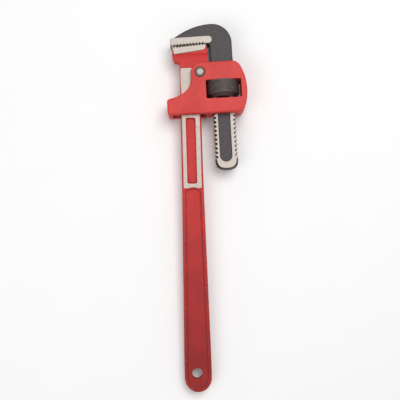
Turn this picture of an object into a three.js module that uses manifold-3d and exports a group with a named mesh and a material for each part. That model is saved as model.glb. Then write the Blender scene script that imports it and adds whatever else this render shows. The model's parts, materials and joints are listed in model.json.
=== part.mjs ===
// A straight pipe wrench, nominal 450 mm (18 in), lying on its back face.
// Millimetres, +Z up. The wrench is drawn flat, with the pivot pin's axis as Z and the jaws at +Y,
// and the whole of it is then leaned over until it rests on the nut, the frame's loop and the handle's end.
import * as THREE from 'three';
import { mergeVertices } from 'three/addons/utils/BufferGeometryUtils.js';
import Module from 'manifold-3d';

const wasm = await Module();
wasm.setup();

// How the wrench lies: leaned about X, then about Y, until it rests on three points
const LIE_PITCH = 1.66;
const LIE_ROLL = -3.53;

// The handle's and the frame's own axes, in degrees from Y
const HANDLE_LEAN = 1.7;
const FRAME_LEAN = 3.0;
const FIT = 0.3;

// Handle bar: its sides stand either side of BAR_X
const BAR_X = -11.1;
const BAR_HALF_DEPTH = 6.5;
const BAR_EDGE = 1.2;
const BAR_TOP = [0, 10.5];
const BAR_NECK = [-50, 11.0];
const BAR_MIDDLE = [-125, 11.5];
const BAR_WIDEST = [-305, 14.1];
const BAR_END_Y = -335.4;
const HANG_HOLE = { x: -12, y: -316.4, r: 5.7 };
const PAD = { left: -21, right: -1.3, top: 6.3, bottom: -123.4, proud: 0.6 };
const POCKET = { left: -16.4, right: -6.6, top: -48, bottom: -118, depth: 1.6 };
const PANEL = { top: -127, arch: 3, rim: 3.4, depth: 1.2 };

// Head and heel jaw
const HEAD_HALF_DEPTH = 9.3;
const HEAD_TURN_R = 9.2;
const FLARE_LOW = 9.5;
const FLARE_HIGH = 21;
const STRIP = { left: -27.2, leftY: 20.9, right: 4.2, rightY: 24.9, noseX: -28.5, noseY: 27.6 };
const HEEL_TEETH = { x0: -25.8, y0: 28.9, x1: 4.9, y1: 31.6, count: 10, depth: 1.4 };
const TONGUE = { left: -21, right: -1, halfDepth: 3.4, drop: 4.6 };
const JAW_PIN = { x: -11, y: 20.3, r: 1.6, front: 7.2 };

// Pivot pin
const PIN_R = 4.3;
const PIN_HEAD_R = 5.3;
const PIN_HEAD_SEAT = 12.1;
const PIN_DOME = 1.5;

// Frame
const FRAME_HALF_DEPTH = 13.5;
const FRAME_EDGE = 1.6;
const FRAME_TOP = 10.7;
const FRAME_BOTTOM = -44.6;
const FRAME_LEFT = -36.4;
const SLOT_HALF_DEPTH = 7.5;
const LOOP_WALL = 5.2;
const SLOT_RIGHT = 4.7;
const WINDOW = { left: 5.7, right: 43.0, top: -9.0, bottom: -28.9 };
const TURN_POCKET_R = 9.6;

// Leaf springs, each held to a wall of the slot by a rivet through the frame
const LEAF = 0.9;
const LEAF_HALF_WIDTH = 5;
const SPRING_RIVET_R = 1.8;
const SPRING_RIVET_HEAD = { r: 3, thick: 1.1 };
const FRONT_SPRING = { rivetY: -31.5, wallX: FRAME_LEFT + LOOP_WALL };
const BACK_SPRING = { rivetY: -39.5, wallX: SLOT_RIGHT };

// Threaded shank and nut, about an axis at SHANK_X
const SHANK_X = 23.8;
const STEM_HALF_DEPTH = 7.2;
const SHANK_HALF_DEPTH = 5.8;
const PITCH = 4.7;
const THREAD_R = 12.3;
const THREAD_ROOT_R = 10.7;
const CREST = 1.6;
const ROOT = 1.5;
const THREAD_GAP = { around: 0.4, along: 0.3 };
const THREAD_TOP = -7.6;
const THREAD_BOTTOM = -92.6;
const THREAD_PHASE = 1.3;
const SHANK_END_Y = -93;
const TURN_STEPS = 24;
const CHANNEL = { left: -7.2, right: 6.0, top: -8, round: -89.7, depth: 1.2 };
const SHANK_TIP = { long: 11.8, square: 2.7 };
const NUT = { r: 17.7, top: -9.3, rim: -23.2, hubR: 14.6, bottom: -26.9, chamfer: 0.5 };

// Hook
const HOOK_PAD_HALF_DEPTH = 9.3;
const CROWN = { x: 14.5, y: 32.4, r: 21.3 };
const NOSE_X = -30.3;
const NOSE_TOP = 38;
const THROAT_X = 11.5;
const HEAD_FOOT = { left: 12.0, right: 11.3 };
const HOOK_TEETH = { x0: -30.3, y0: 30.75, x1: 6.6, y1: 31.95, count: 11, depth: 1.4 };
const HOOK_PAD = { left: -30.3, leftTop: 39.2, top: 39.9, endX: 10.6, endY: 35.9 };

const radians = THREE.MathUtils.degToRad;

function paint(color, roughness, metalness) {
  return new THREE.MeshStandardMaterial({ color, roughness, metalness });
}

const redPaint = () => paint(0xc8403c, 0.45, 0.1);
const bareSteel = () => paint(0xc9c0b6, 0.35, 0.9);
const blackSteel = () => paint(0x4b4647, 0.6, 0.5);
const nutSteel = () => paint(0x574d4b, 0.6, 0.6);
const springSteel = () => paint(0x2f2d2f, 0.45, 0.8);

// A closed geometry as a solid that can be joined and cut
function solid(geometry) {
  const bare = geometry.clone();
  bare.deleteAttribute('normal');
  bare.deleteAttribute('uv');
  const merged = mergeVertices(bare, 1e-4);
  return new wasm.Manifold(new wasm.Mesh({
    numProp: 3,
    vertProperties: merged.attributes.position.array,
    triVerts: new Uint32Array(merged.index.array),
  }));
}

function mesh(name, body, material) {
  const made = body.getMesh();
  const geometry = new THREE.BufferGeometry();
  geometry.setAttribute('position', new THREE.BufferAttribute(new Float32Array(made.vertProperties), 3));
  geometry.setIndex(new THREE.BufferAttribute(new Uint32Array(made.triVerts), 1));
  geometry.computeVertexNormals();
  const result = new THREE.Mesh(geometry, material);
  result.name = name;
  return result;
}

// A shape in the XY plane, made solid between two heights
function slab(shape, z0, z1, curveSegments = 12) {
  const geometry = new THREE.ExtrudeGeometry(shape, { depth: z1 - z0, bevelEnabled: false, curveSegments });
  return solid(geometry.translate(0, 0, z0));
}

// The same, with its outline's edges chamfered all round
function chamferedSlab(shape, halfDepth, edge, curveSegments = 12) {
  const geometry = new THREE.ExtrudeGeometry(shape, {
    depth: 2 * (halfDepth - edge),
    bevelThickness: edge,
    bevelSize: edge,
    bevelOffset: -edge,
    bevelSegments: 2,
    curveSegments,
  });
  return solid(geometry.translate(0, 0, edge - halfDepth));
}

function polygon(...points) {
  return new THREE.Shape(points.map(([x, y]) => new THREE.Vector2(x, y)));
}

function block(x0, x1, y0, y1, z0, z1) {
  return slab(polygon([x0, y0], [x1, y0], [x1, y1], [x0, y1]), z0, z1);
}

function disc(x, y, r, z0, z1, segments = 32) {
  const geometry = new THREE.CylinderGeometry(r, r, z1 - z0, segments);
  return solid(geometry.rotateX(Math.PI / 2).translate(x, y, (z0 + z1) / 2));
}

// A round bar along X
function crossBar(x0, x1, y, r, segments = 20) {
  const geometry = new THREE.CylinderGeometry(r, r, x1 - x0, segments);
  return solid(geometry.rotateZ(Math.PI / 2).translate((x0 + x1) / 2, y, 0));
}

// A solid turned about the shank's axis, from a profile of [radius, y] that starts and ends on the axis
function turned(profile, segments = 48) {
  const points = profile.map(([r, y]) => new THREE.Vector2(r, y));
  return solid(new THREE.LatheGeometry(points, segments).translate(SHANK_X, 0, 0));
}

// A right-hand thread about the same line: ridge and root bands joined by sloping flanks, one turn per pitch
function thread(crestR, rootR, crest, root, low, high) {
  const flank = (PITCH - crest - root) / 2;
  const bands = [[0, crestR], [crest, crestR], [crest + flank, rootR], [crest + flank + root, rootR]];
  const turns = Math.ceil((high - low) / PITCH) + 2;
  const rows = bands.length * turns;
  const start = PITCH * (Math.floor(low / PITCH) - 1) + THREAD_PHASE - crest / 2;
  const positions = [];
  const index = [];
  for (let row = 0; row <= rows + bands.length; row++) {
    const [along, r] = bands[row % bands.length];
    const y = start + PITCH * Math.floor(row / bands.length) + along;
    for (let step = 0; step < TURN_STEPS; step++) {
      const angle = 2 * Math.PI * step / TURN_STEPS;
      positions.push(r * Math.sin(angle), y + PITCH * step / TURN_STEPS, r * Math.cos(angle));
    }
  }
  const at = (row, step) => (step < TURN_STEPS ? row * TURN_STEPS + step : (row + bands.length) * TURN_STEPS);
  for (let row = 0; row < rows; row++) {
    for (let step = 0; step < TURN_STEPS; step++) {
      const [a, b, c, d] = [at(row, step), at(row, step + 1), at(row + 1, step + 1), at(row + 1, step)];
      index.push(a, b, c, a, c, d);
    }
  }
  const foot = positions.length / 3;
  positions.push(0, start, 0, 0, start + PITCH * (turns + 1), 0);
  for (let step = 0; step < TURN_STEPS; step++) {
    index.push(foot, at(0, step + 1), at(0, step));
    index.push(foot + 1, at(rows, step), at(rows, step + 1));
  }
  for (let row = 0; row < bands.length; row++) {
    index.push(foot, at(row, 0), at(row + 1, 0));
    index.push(foot + 1, at(rows + row + 1, 0), at(rows + row, 0));
  }
  const geometry = new THREE.BufferGeometry();
  geometry.setAttribute('position', new THREE.Float32BufferAttribute(positions, 3));
  geometry.setIndex(index);
  return solid(geometry.translate(SHANK_X, 0, 0));
}

// The points of a tooth line from (x0, y0) to (x1, y1), tips on the line and roots `side * depth` off it
function teeth({ x0, y0, x1, y1, count, depth }, side, steep) {
  const points = [];
  const step = [(x1 - x0) / count, (y1 - y0) / count];
  for (let tooth = 0; tooth < count; tooth++) {
    const root = tooth + steep;
    points.push([x0 + step[0] * tooth, y0 + step[1] * tooth]);
    points.push([x0 + step[0] * root, y0 + step[1] * root + side * depth]);
  }
  points.push([x1, y1]);
  return points;
}

// The bar's outline below the head, `inset` inside its edge, from the right side down round the end and up
function barOutline(inset, topY) {
  const stations = [BAR_TOP, BAR_NECK, BAR_MIDDLE, BAR_WIDEST];
  const halfWidth = (y) => {
    const above = Math.max(0, stations.findLastIndex((s) => s[0] >= y));
    const [y0, w0] = stations[above];
    const [y1, w1] = stations[Math.min(above + 1, stations.length - 1)];
    return (y0 === y1 ? w0 : w0 + (w1 - w0) * (y - y0) / (y1 - y0)) - inset;
  };
  const shape = new THREE.Shape();
  const endY = BAR_WIDEST[0] - 15;
  const levels = [topY, BAR_NECK[0], BAR_MIDDLE[0], BAR_WIDEST[0]].filter((y) => y <= topY);
  shape.moveTo(BAR_X + halfWidth(topY), topY);
  levels.forEach((y) => shape.lineTo(BAR_X + halfWidth(y), y));
  shape.absellipse(BAR_X, endY, halfWidth(endY), endY - BAR_END_Y - inset, 0, Math.PI, true);
  levels.reverse().forEach((y) => shape.lineTo(BAR_X - halfWidth(y), y));
  return shape;
}

// The heel jaw's side and bottom edges grown by `gap`, closed far above: the seat it is let into
function stripOutline(gap) {
  const { left, leftY, right, rightY, noseX, noseY } = STRIP;
  const shape = new THREE.Shape();
  shape.moveTo(noseX - gap, noseY);
  shape.lineTo(left - gap, leftY - gap);
  shape.lineTo(right, rightY - gap);
  shape.quadraticCurveTo(7.1 + gap, 26, 7.1 + gap, 30);
  return shape;
}

function headOutline() {
  const shape = new THREE.Shape();
  shape.moveTo(BAR_X - BAR_TOP[1], -14);
  shape.lineTo(BAR_X - BAR_TOP[1], 12.2);
  shape.quadraticCurveTo(-21.7, 13.6, -24.6, 13.7);
  shape.quadraticCurveTo(-28.9, 14.2, -29.1, 19);
  shape.lineTo(-29.4, 25);
  shape.lineTo(-29.1, 27.8);
  shape.lineTo(7.9, 29.8);
  shape.quadraticCurveTo(9.0, 24, 9.3, 16);
  shape.lineTo(HEAD_TURN_R, 0);
  shape.absarc(0, 0, HEAD_TURN_R, 0, -Math.PI / 2, true);
  shape.lineTo(0, -14);
  return shape;
}

// The head is as thin as the bar below FLARE_LOW and swells in a hollow curve to the jaw's width
function headFlare() {
  const steps = 6;
  const side = [[-20, BAR_HALF_DEPTH]];
  for (let i = 0; i <= steps; i++) {
    const angle = (Math.PI / 2) * (i / steps);
    const y = FLARE_LOW + (FLARE_HIGH - FLARE_LOW) * Math.sin(angle);
    side.push([y, BAR_HALF_DEPTH + (HEAD_HALF_DEPTH - BAR_HALF_DEPTH) * (1 - Math.cos(angle))]);
  }
  side.push([45, HEAD_HALF_DEPTH]);
  const other = side.map(([y, z]) => [y, -z]).reverse();
  const geometry = new THREE.ExtrudeGeometry(polygon(...side, ...other), { depth: 90, bevelEnabled: false });
  geometry.rotateY(-Math.PI / 2).rotateX(-Math.PI / 2);
  return solid(geometry.translate(45, 0, 0));
}

function makeHandle() {
  let body = chamferedSlab(barOutline(0, -11), BAR_HALF_DEPTH, BAR_EDGE);
  const panel = barOutline(PANEL.rim, PANEL.top);
  panel.quadraticCurveTo(BAR_X, PANEL.top + 2 * PANEL.arch, panel.getPoint(0).x, PANEL.top);
  const { left, right, top, bottom, proud } = PAD;
  const padHalf = BAR_HALF_DEPTH + proud;
  body = body.add(slab(headOutline(), -HEAD_HALF_DEPTH, HEAD_HALF_DEPTH).intersect(headFlare()));
  body = body.add(block(left, right, bottom, top, -padHalf, padHalf));
  for (const side of [1, -1]) {
    const floor = side * (BAR_HALF_DEPTH - PANEL.depth);
    const pocketFloor = side * (padHalf - POCKET.depth);
    const far = side * 20;
    body = body.subtract(slab(panel, Math.min(floor, far), Math.max(floor, far)));
    body = body.subtract(block(POCKET.left, POCKET.right, POCKET.bottom, POCKET.top,
      Math.min(pocketFloor, far), Math.max(pocketFloor, far)));
  }
  const seat = stripOutline(FIT);
  seat.lineTo(7.1 + FIT, 50);
  seat.lineTo(STRIP.noseX - FIT, 50);
  body = body.subtract(slab(seat, -20, 20));
  body = body.subtract(tongueBlock(FIT));
  body = body.subtract(disc(JAW_PIN.x, JAW_PIN.y, JAW_PIN.r + FIT, -20, JAW_PIN.front + FIT, 20));
  body = body.subtract(disc(0, 0, PIN_R + FIT, -20, 20));
  body = body.subtract(disc(HANG_HOLE.x, HANG_HOLE.y, HANG_HOLE.r, -20, 20));
  return mesh('handle', body, redPaint());
}

// The heel jaw's tongue, grown by `gap`
function tongueBlock(gap) {
  const { left, right, halfDepth, drop } = TONGUE;
  const slope = (STRIP.rightY - STRIP.leftY) / (STRIP.right - STRIP.left);
  const bottomAt = (x) => STRIP.leftY + slope * (x - STRIP.left) - drop - gap;
  const shape = polygon([left - gap, bottomAt(left)], [right + gap, bottomAt(right)],
    [right + gap, 26.5], [left - gap, 25.5]);
  return slab(shape, -halfDepth - gap, halfDepth + gap);
}

function makeHeelJaw() {
  const shape = stripOutline(0);
  const line = teeth(HEEL_TEETH, -1, 0.7).reverse();
  line.forEach(([x, y]) => shape.lineTo(x, y));
  let body = slab(shape, -HEAD_HALF_DEPTH - 0.2, HEAD_HALF_DEPTH + 0.2);
  body = body.add(tongueBlock(0));
  body = body.subtract(disc(JAW_PIN.x, JAW_PIN.y, JAW_PIN.r + FIT, -20, 20, 20));
  return mesh('heel_jaw', body, bareSteel());
}

function makeHeelJawPin() {
  const body = disc(JAW_PIN.x, JAW_PIN.y, JAW_PIN.r, -8, JAW_PIN.front, 20);
  return mesh('heel_jaw_pin', body, bareSteel());
}

function makeFramePin() {
  const top = FRAME_HALF_DEPTH;
  const profile = [[0, -top - PIN_DOME]];
  const arc = 5;
  for (let i = 1; i <= arc; i++) {
    const angle = (Math.PI / 2) * (i / arc);
    profile.push([PIN_HEAD_R * Math.sin(angle), -top - PIN_DOME * Math.cos(angle)]);
  }
  profile.push([PIN_HEAD_R, -PIN_HEAD_SEAT], [PIN_R, -PIN_HEAD_SEAT]);
  const mirrored = profile.map(([r, y]) => [r, -y]).reverse();
  const points = [...profile, ...mirrored].map(([r, y]) => new THREE.Vector2(r, y));
  const body = solid(new THREE.LatheGeometry(points, 32).rotateX(Math.PI / 2));
  return mesh('frame_pin', body, bareSteel());
}

function frameOutline() {
  const shape = new THREE.Shape();
  shape.moveTo(1, FRAME_TOP);
  shape.lineTo(35.5, FRAME_TOP);
  shape.quadraticCurveTo(40.8, 10.2, 43.6, 4.4);
  shape.quadraticCurveTo(49.3, -7, 49.3, -21);
  shape.quadraticCurveTo(49.2, -34, 44.4, -42);
  shape.quadraticCurveTo(43, FRAME_BOTTOM, 39.5, FRAME_BOTTOM);
  shape.lineTo(-33.6, FRAME_BOTTOM);
  shape.quadraticCurveTo(FRAME_LEFT, FRAME_BOTTOM, FRAME_LEFT, -41.4);
  shape.lineTo(-36.6, -30.5);
  shape.quadraticCurveTo(-36.4, -27.6, -33.6, -27.1);
  shape.quadraticCurveTo(-20, -24.6, -13.2, -16.8);
  shape.quadraticCurveTo(-9.8, -12.6, -9.7, -3);
  shape.lineTo(-9.7, 0);
  shape.absarc(1, 0, FRAME_TOP, Math.PI, Math.PI / 2, true);
  return shape;
}

// The room the handle turns in, open to the jaw's channel above the pin
function slotOutline() {
  const left = FRAME_LEFT + LOOP_WALL;
  const shape = new THREE.Shape();
  shape.moveTo(left, -60);
  shape.lineTo(left, 30);
  shape.lineTo(14, 30);
  shape.lineTo(14, -2);
  shape.absarc(0, 0, TURN_POCKET_R, -0.21, -1.43, true);
  shape.lineTo(1.4, -24);
  shape.lineTo(SLOT_RIGHT, -34);
  shape.lineTo(SLOT_RIGHT, -60);
  return shape;
}

function makeFrame() {
  const channel = THREAD_R + 0.5;
  const [low, high] = [SHANK_X - channel, SHANK_X + channel];
  let body = chamferedSlab(frameOutline(), FRAME_HALF_DEPTH, FRAME_EDGE);
  body = body.subtract(slab(slotOutline(), -SLOT_HALF_DEPTH, SLOT_HALF_DEPTH));
  const guide = SHANK_HALF_DEPTH + FIT;
  body = body.subtract(block(low, high, WINDOW.bottom, 30, -SLOT_HALF_DEPTH, SLOT_HALF_DEPTH));
  body = body.subtract(block(low, high, -60, WINDOW.bottom, -guide, guide));
  body = body.subtract(block(WINDOW.left, WINDOW.right, WINDOW.bottom, WINDOW.top, -20, 20));
  body = body.subtract(disc(0, 0, PIN_R + FIT, -20, 20));
  for (const side of [1, -1]) {
    const seat = side * (PIN_HEAD_SEAT - FIT);
    body = body.subtract(disc(0, 0, PIN_HEAD_R + FIT, Math.min(seat, side * 20), Math.max(seat, side * 20)));
  }
  body = body.subtract(crossBar(-50, -25, FRONT_SPRING.rivetY, SPRING_RIVET_R + FIT));
  body = body.subtract(crossBar(3, 20, BACK_SPRING.rivetY, SPRING_RIVET_R + FIT));
  return mesh('frame', body, redPaint());
}

// A spring's leaf: an even strip along a smooth curve through the points
function leaf(points) {
  const curve = new THREE.SplineCurve(points.map(([x, y]) => new THREE.Vector2(x, y)));
  const steps = 14;
  const left = [];
  const right = [];
  for (let i = 0; i <= steps; i++) {
    const at = curve.getPoint(i / steps);
    const along = curve.getTangent(i / steps);
    left.push([at.x - along.y * LEAF / 2, at.y + along.x * LEAF / 2]);
    right.unshift([at.x + along.y * LEAF / 2, at.y - along.x * LEAF / 2]);
  }
  return slab(polygon(...left, ...right), -LEAF_HALF_WIDTH, LEAF_HALF_WIDTH);
}

function makeFrontSpring() {
  const wall = FRONT_SPRING.wallX + FIT + LEAF / 2;
  const bow = [[wall + 0.3, -35], [-26.4, -38.6], [-24.0, -41.2], [-25.6, -44]];
  let body = leaf([[wall, -28.6], [wall, FRONT_SPRING.rivetY], ...bow]);
  body = body.subtract(crossBar(-40, -20, FRONT_SPRING.rivetY, SPRING_RIVET_R + FIT));
  return mesh('front_spring', body, springSteel());
}

function makeBackSpring() {
  const wall = BACK_SPRING.wallX - FIT - LEAF / 2;
  const bow = [[wall - 0.2, -36], [1.9, -32.4], [0.2, -28.8], [0.7, -26]];
  let body = leaf([[wall, -43.8], [wall, BACK_SPRING.rivetY], ...bow]);
  body = body.subtract(crossBar(0, 20, BACK_SPRING.rivetY, SPRING_RIVET_R + FIT));
  return mesh('back_spring', body, springSteel());
}

// A spring's rivet: its head clamps the leaf from `headX`, its shank ends flush in the wall at `endX`
function springRivet(name, y, headX, endX) {
  const { r, thick } = SPRING_RIVET_HEAD;
  const away = Math.sign(headX - endX);
  const face = headX + away * FIT;
  const crown = face + away * thick;
  let body = crossBar(Math.min(endX, face), Math.max(endX, face), y, SPRING_RIVET_R);
  body = body.add(crossBar(Math.min(face, crown) - 0.05, Math.max(face, crown) + 0.05, y, r));
  return mesh(name, body, bareSteel());
}

function makeNut() {
  const { r, top, rim, hubR, bottom, chamfer } = NUT;
  const hub = [[0, bottom], [hubR - 1, bottom], [hubR, bottom + 1]];
  const wheel = [[r - 0.6, rim - 0.4], [r, rim + 0.4], [r, top - chamfer], [r - chamfer, top], [0, top]];
  const { around, along } = THREAD_GAP;
  const hole = thread(THREAD_R + around, THREAD_ROOT_R + around, CREST + 2 * along, ROOT - 2 * along,
    bottom - PITCH, top + PITCH);
  const body = turned([...hub, ...wheel]).subtract(hole);
  return mesh('adjusting_nut', body, nutSteel());
}

function makeHookJaw() {
  const bar = THREAD_R + 0.2;
  const [low, high] = [THREAD_BOTTOM - 0.5, THREAD_TOP + 0.5];
  const screw = thread(THREAD_R, THREAD_ROOT_R, CREST, ROOT, THREAD_BOTTOM, THREAD_TOP)
    .intersect(turned([[0, low], [20, low], [20, high], [0, high]]));
  const tip = [[0, SHANK_END_Y - SHANK_TIP.long]];
  const arc = 8;
  const power = 2 / SHANK_TIP.square;
  for (let i = 1; i <= arc; i++) {
    const angle = (Math.PI / 2) * (i / arc);
    tip.push([THREAD_R * Math.sin(angle) ** power, SHANK_END_Y - SHANK_TIP.long * Math.cos(angle) ** power]);
  }
  tip.push([THREAD_R, THREAD_BOTTOM], [0, THREAD_BOTTOM]);
  const stem = [[0, THREAD_TOP], [THREAD_R - 0.4, THREAD_TOP], [bar, THREAD_TOP + 1], [bar, 17], [0, 17]];
  let body = screw.add(turned(tip)).intersect(block(-50, 80, -200, 100, -SHANK_HALF_DEPTH, SHANK_HALF_DEPTH));
  body = body.add(turned(stem).intersect(block(-50, 80, -200, 100, -STEM_HALF_DEPTH, STEM_HALF_DEPTH)));
  body = body.add(hookHead());
  for (const side of [1, -1]) {
    const floor = side * (SHANK_HALF_DEPTH - CHANNEL.depth);
    body = body.subtract(slab(channelOutline(), Math.min(floor, side * 20), Math.max(floor, side * 20)));
  }
  return mesh('hook_jaw', body, blackSteel());
}

// The recess down each face of the shank, round at its foot
function channelOutline() {
  const { left, right, top, round } = CHANNEL;
  const middle = SHANK_X + (left + right) / 2;
  const half = (right - left) / 2;
  const shape = new THREE.Shape();
  shape.moveTo(middle + half, top);
  shape.lineTo(middle + half, round);
  shape.absarc(middle, round, half, 0, Math.PI, true);
  shape.lineTo(middle - half, top);
  return shape;
}

function hookHead() {
  const { x, y, r } = CROWN;
  const line = teeth(HOOK_TEETH, 1, 0.3);
  const [lastX, lastY] = line[line.length - 1];
  const outer = new THREE.Shape();
  outer.moveTo(THROAT_X, HEAD_FOOT.left);
  outer.lineTo(x + r, HEAD_FOOT.right);
  outer.lineTo(x + r, y);
  outer.absarc(x, y, r, 0, Math.PI / 2, false);
  outer.quadraticCurveTo(-7.1, y + r, NOSE_X + 0.8, NOSE_TOP);
  outer.quadraticCurveTo(NOSE_X, 37.4, NOSE_X, 36.4);
  outer.lineTo(NOSE_X, 33.5);
  outer.lineTo(lastX, lastY + 2.2);
  outer.quadraticCurveTo(THROAT_X, lastY + 1.2, THROAT_X, lastY - 3);
  const pad = new THREE.Shape();
  pad.moveTo(HOOK_PAD.left, HOOK_PAD.leftTop - 1.2);
  line.forEach(([px, py]) => pad.lineTo(px, py));
  pad.absarc(HOOK_PAD.endX, HOOK_PAD.endY, HOOK_PAD.top - HOOK_PAD.endY, -Math.PI / 2, Math.PI / 2, false);
  pad.lineTo(HOOK_PAD.left + 2.4, HOOK_PAD.leftTop);
  return chamferedSlab(outer, STEM_HALF_DEPTH, 1.2).add(slab(pad, -HOOK_PAD_HALF_DEPTH, HOOK_PAD_HALF_DEPTH));
}

const handleGroup = new THREE.Group();
handleGroup.rotation.z = radians(HANDLE_LEAN);
handleGroup.add(makeHandle(), makeHeelJaw(), makeHeelJawPin());

const frameGroup = new THREE.Group();
frameGroup.rotation.z = radians(FRAME_LEAN);
frameGroup.add(makeFrame(), makeFramePin(), makeFrontSpring(), makeBackSpring(), makeNut(), makeHookJaw());
const frontLeafFace = FRONT_SPRING.wallX + FIT + LEAF;
const backLeafFace = BACK_SPRING.wallX - FIT - LEAF;
frameGroup.add(springRivet('front_spring_rivet', FRONT_SPRING.rivetY, frontLeafFace, FRAME_LEFT + 0.6));
frameGroup.add(springRivet('back_spring_rivet', BACK_SPRING.rivetY, backLeafFace, 10.6));

// Lay the wrench down, then stand it on Z = 0 with the middle of its footprint at the origin
const wrench = new THREE.Group();
wrench.add(handleGroup, frameGroup);
wrench.rotation.set(radians(LIE_PITCH), radians(LIE_ROLL), 0);
wrench.updateMatrixWorld(true);
const bounds = new THREE.Box3().setFromObject(wrench, true);
const middle = bounds.getCenter(new THREE.Vector3());
wrench.position.set(-middle.x, -middle.y, -bounds.min.z);

export default wrench;
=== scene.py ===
"""A straight pipe wrench lying on its back: the looks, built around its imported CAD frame.

Shapes are drawn in millimetres in two flat frames that share the pivot pin's middle as their origin:
the frame's own, with the shank along +Y, and the handle's own, with the bar along Y.
+Z comes out of the front face in both.
"""

import json
import math

import bpy
import numpy as np
from mathutils import Matrix, Vector


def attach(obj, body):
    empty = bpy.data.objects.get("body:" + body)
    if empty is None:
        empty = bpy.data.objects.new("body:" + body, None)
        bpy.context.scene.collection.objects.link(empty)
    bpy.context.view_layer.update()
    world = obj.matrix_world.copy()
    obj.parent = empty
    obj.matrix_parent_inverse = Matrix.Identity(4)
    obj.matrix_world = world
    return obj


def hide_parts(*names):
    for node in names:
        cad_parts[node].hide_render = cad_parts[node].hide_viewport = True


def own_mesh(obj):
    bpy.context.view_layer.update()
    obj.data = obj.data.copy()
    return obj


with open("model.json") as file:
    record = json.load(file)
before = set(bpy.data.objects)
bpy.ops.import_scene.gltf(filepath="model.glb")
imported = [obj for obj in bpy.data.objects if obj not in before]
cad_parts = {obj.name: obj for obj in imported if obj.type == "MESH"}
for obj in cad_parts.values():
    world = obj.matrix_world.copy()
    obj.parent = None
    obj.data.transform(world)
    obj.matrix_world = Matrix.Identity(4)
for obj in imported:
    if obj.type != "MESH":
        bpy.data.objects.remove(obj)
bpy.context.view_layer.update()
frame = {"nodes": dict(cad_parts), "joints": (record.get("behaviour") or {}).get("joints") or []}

MM = 0.001

# Leans of the two flat frames, in degrees from the view's own upright
HANDLE_LEAN = 1.7
FRAME_LEAN = 3.0

# Handle
BAR_X = -11.1
BAR_HALF_DEPTH = 6.5
BAR_EDGE = 1.5
BAR_TOP_Y = -11
BAR_STATIONS = [(0, 10.5), (-50, 11.0), (-125, 11.5), (-305, 14.1)]
BAR_TIP_Y = -335.4
HANG_HOLE = {"at": (-12, -316.4), "r": 5.7, "edge": 0.7}
PAD = {"left": -21, "right": -1.3, "top": 6.3, "bottom": -123.4, "half": 7.1, "corner": 1.4}
POCKET = {"left": -16.4, "right": -6.6, "top": -48, "bottom": -118, "floor": 5.5, "draft": 0.5, "corner": 0.9}
PANEL = {"top": -127, "arch": 3, "rim": 2.9, "draft": 1.1, "floor": 5.35}
HEAD_HALF_DEPTH = 9.3
HEAD_TURN_R = 9.2
HEAD_EDGE = 1.1
FLARE_LOW = 9.5
FLARE_HIGH = 21

# Heel jaw
STRIP = {"left": -27.2, "left_y": 20.9, "right": 4.2, "right_y": 24.9, "nose": (-28.5, 27.6), "end_x": 7.1}
HEEL_TEETH = {"start": (-25.8, 28.9), "end": (4.9, 31.6), "count": 10, "depth": 1.4}
TONGUE = {"left": -21, "right": -1, "half": 3.4, "drop": 4.6}
JAW_PIN = {"at": (-11, 20.3), "r": 1.6, "front": 7.2}
FIT = 0.3

# Frame
FRAME_HALF_DEPTH = 13.5
FRAME_EDGE = 2.0
FRAME_TOP = 10.7
FRAME_BOTTOM = -44.6
FRAME_LEFT = -36.4
SLOT_HALF_DEPTH = 7.5
SLOT_LEFT = -31.2
SLOT_RIGHT = 4.7
WINDOW = {"left": 5.7, "right": 43.0, "top": -9.0, "bottom": -28.9, "corner": 1.0}
TURN_POCKET_R = 9.6
PIN_R = 4.3
PIN_HEAD_R = 5.3
PIN_HEAD_SEAT = 12.1
PIN_DOME = 1.5
RIVET_R = 1.8
FRONT_RIVET_Y = -31.5
BACK_RIVET_Y = -39.5

# Shank, nut and hook
SHANK_X = 23.8
STEM_HALF_DEPTH = 7.2
SHANK_HALF_DEPTH = 5.8
PITCH = 4.7
THREAD_R = 12.3
THREAD_ROOT_R = 10.7
CREST = 1.6
ROOT = 1.5
THREAD_GAP = {"around": 0.4, "along": 0.3}
THREAD_TOP = -7.6
THREAD_BOTTOM = -92.6
THREAD_PHASE = 1.3
THREAD_STEPS = 72
SHANK_END_Y = -93
SHANK_TIP = {"long": 11.8, "square": 2.7}
BELOW_TIP = -106.4
CHANNEL = {"left": -7.2, "right": 6.0, "top": -8, "round": -89.7, "depth": 1.2, "draft": 0.4}
NUT = {"r": 17.7, "top": -9.3, "rim": -23.2, "hub_r": 14.6, "bottom": -26.9, "edge": 0.5}
KNURLS = 72
KNURL_DEPTH = 0.32
HOOK_EDGE = 2.0
HOOK_PAD_HALF_DEPTH = 9.3
CROWN = {"at": (14.5, 32.4), "r": 21.3}
NOSE_X = -30.3
NOSE_TOP = 38
THROAT_X = 11.5
HEAD_FOOT = {"left": 12.0, "right": 11.3}
HOOK_TEETH = {"start": (-30.3, 30.75), "end": (6.6, 31.95), "count": 11, "depth": 1.4}
HOOK_PAD = {"left": -30.3, "left_top": 39.2, "top": 39.9, "end": (10.6, 35.9)}

# Fineness of the finished surfaces
FINE = 0.36
MEDIUM = 0.45

# How far the small inner pieces' edges are rounded
SMALL_EDGE = 0.15


# ---------------------------------------------------------------- places

joints = {joint["name"]: joint for joint in frame["joints"]}
pin_middle = Vector(joints["frame_rock"]["pos_m"])
outward = Vector(joints["frame_rock"]["axis"]).normalized()
shank_up = Vector(joints["jaw_slide"]["axis"]).normalized()


def flat_frame(turn):
    """The place of a flat frame turned by so many degrees from the frame's own."""
    place = Matrix((shank_up.cross(outward), shank_up, outward)).transposed().to_4x4()
    place.translation = pin_middle
    return place @ Matrix.Rotation(math.radians(turn), 4, "Z") @ Matrix.Scale(MM, 4)


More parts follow.
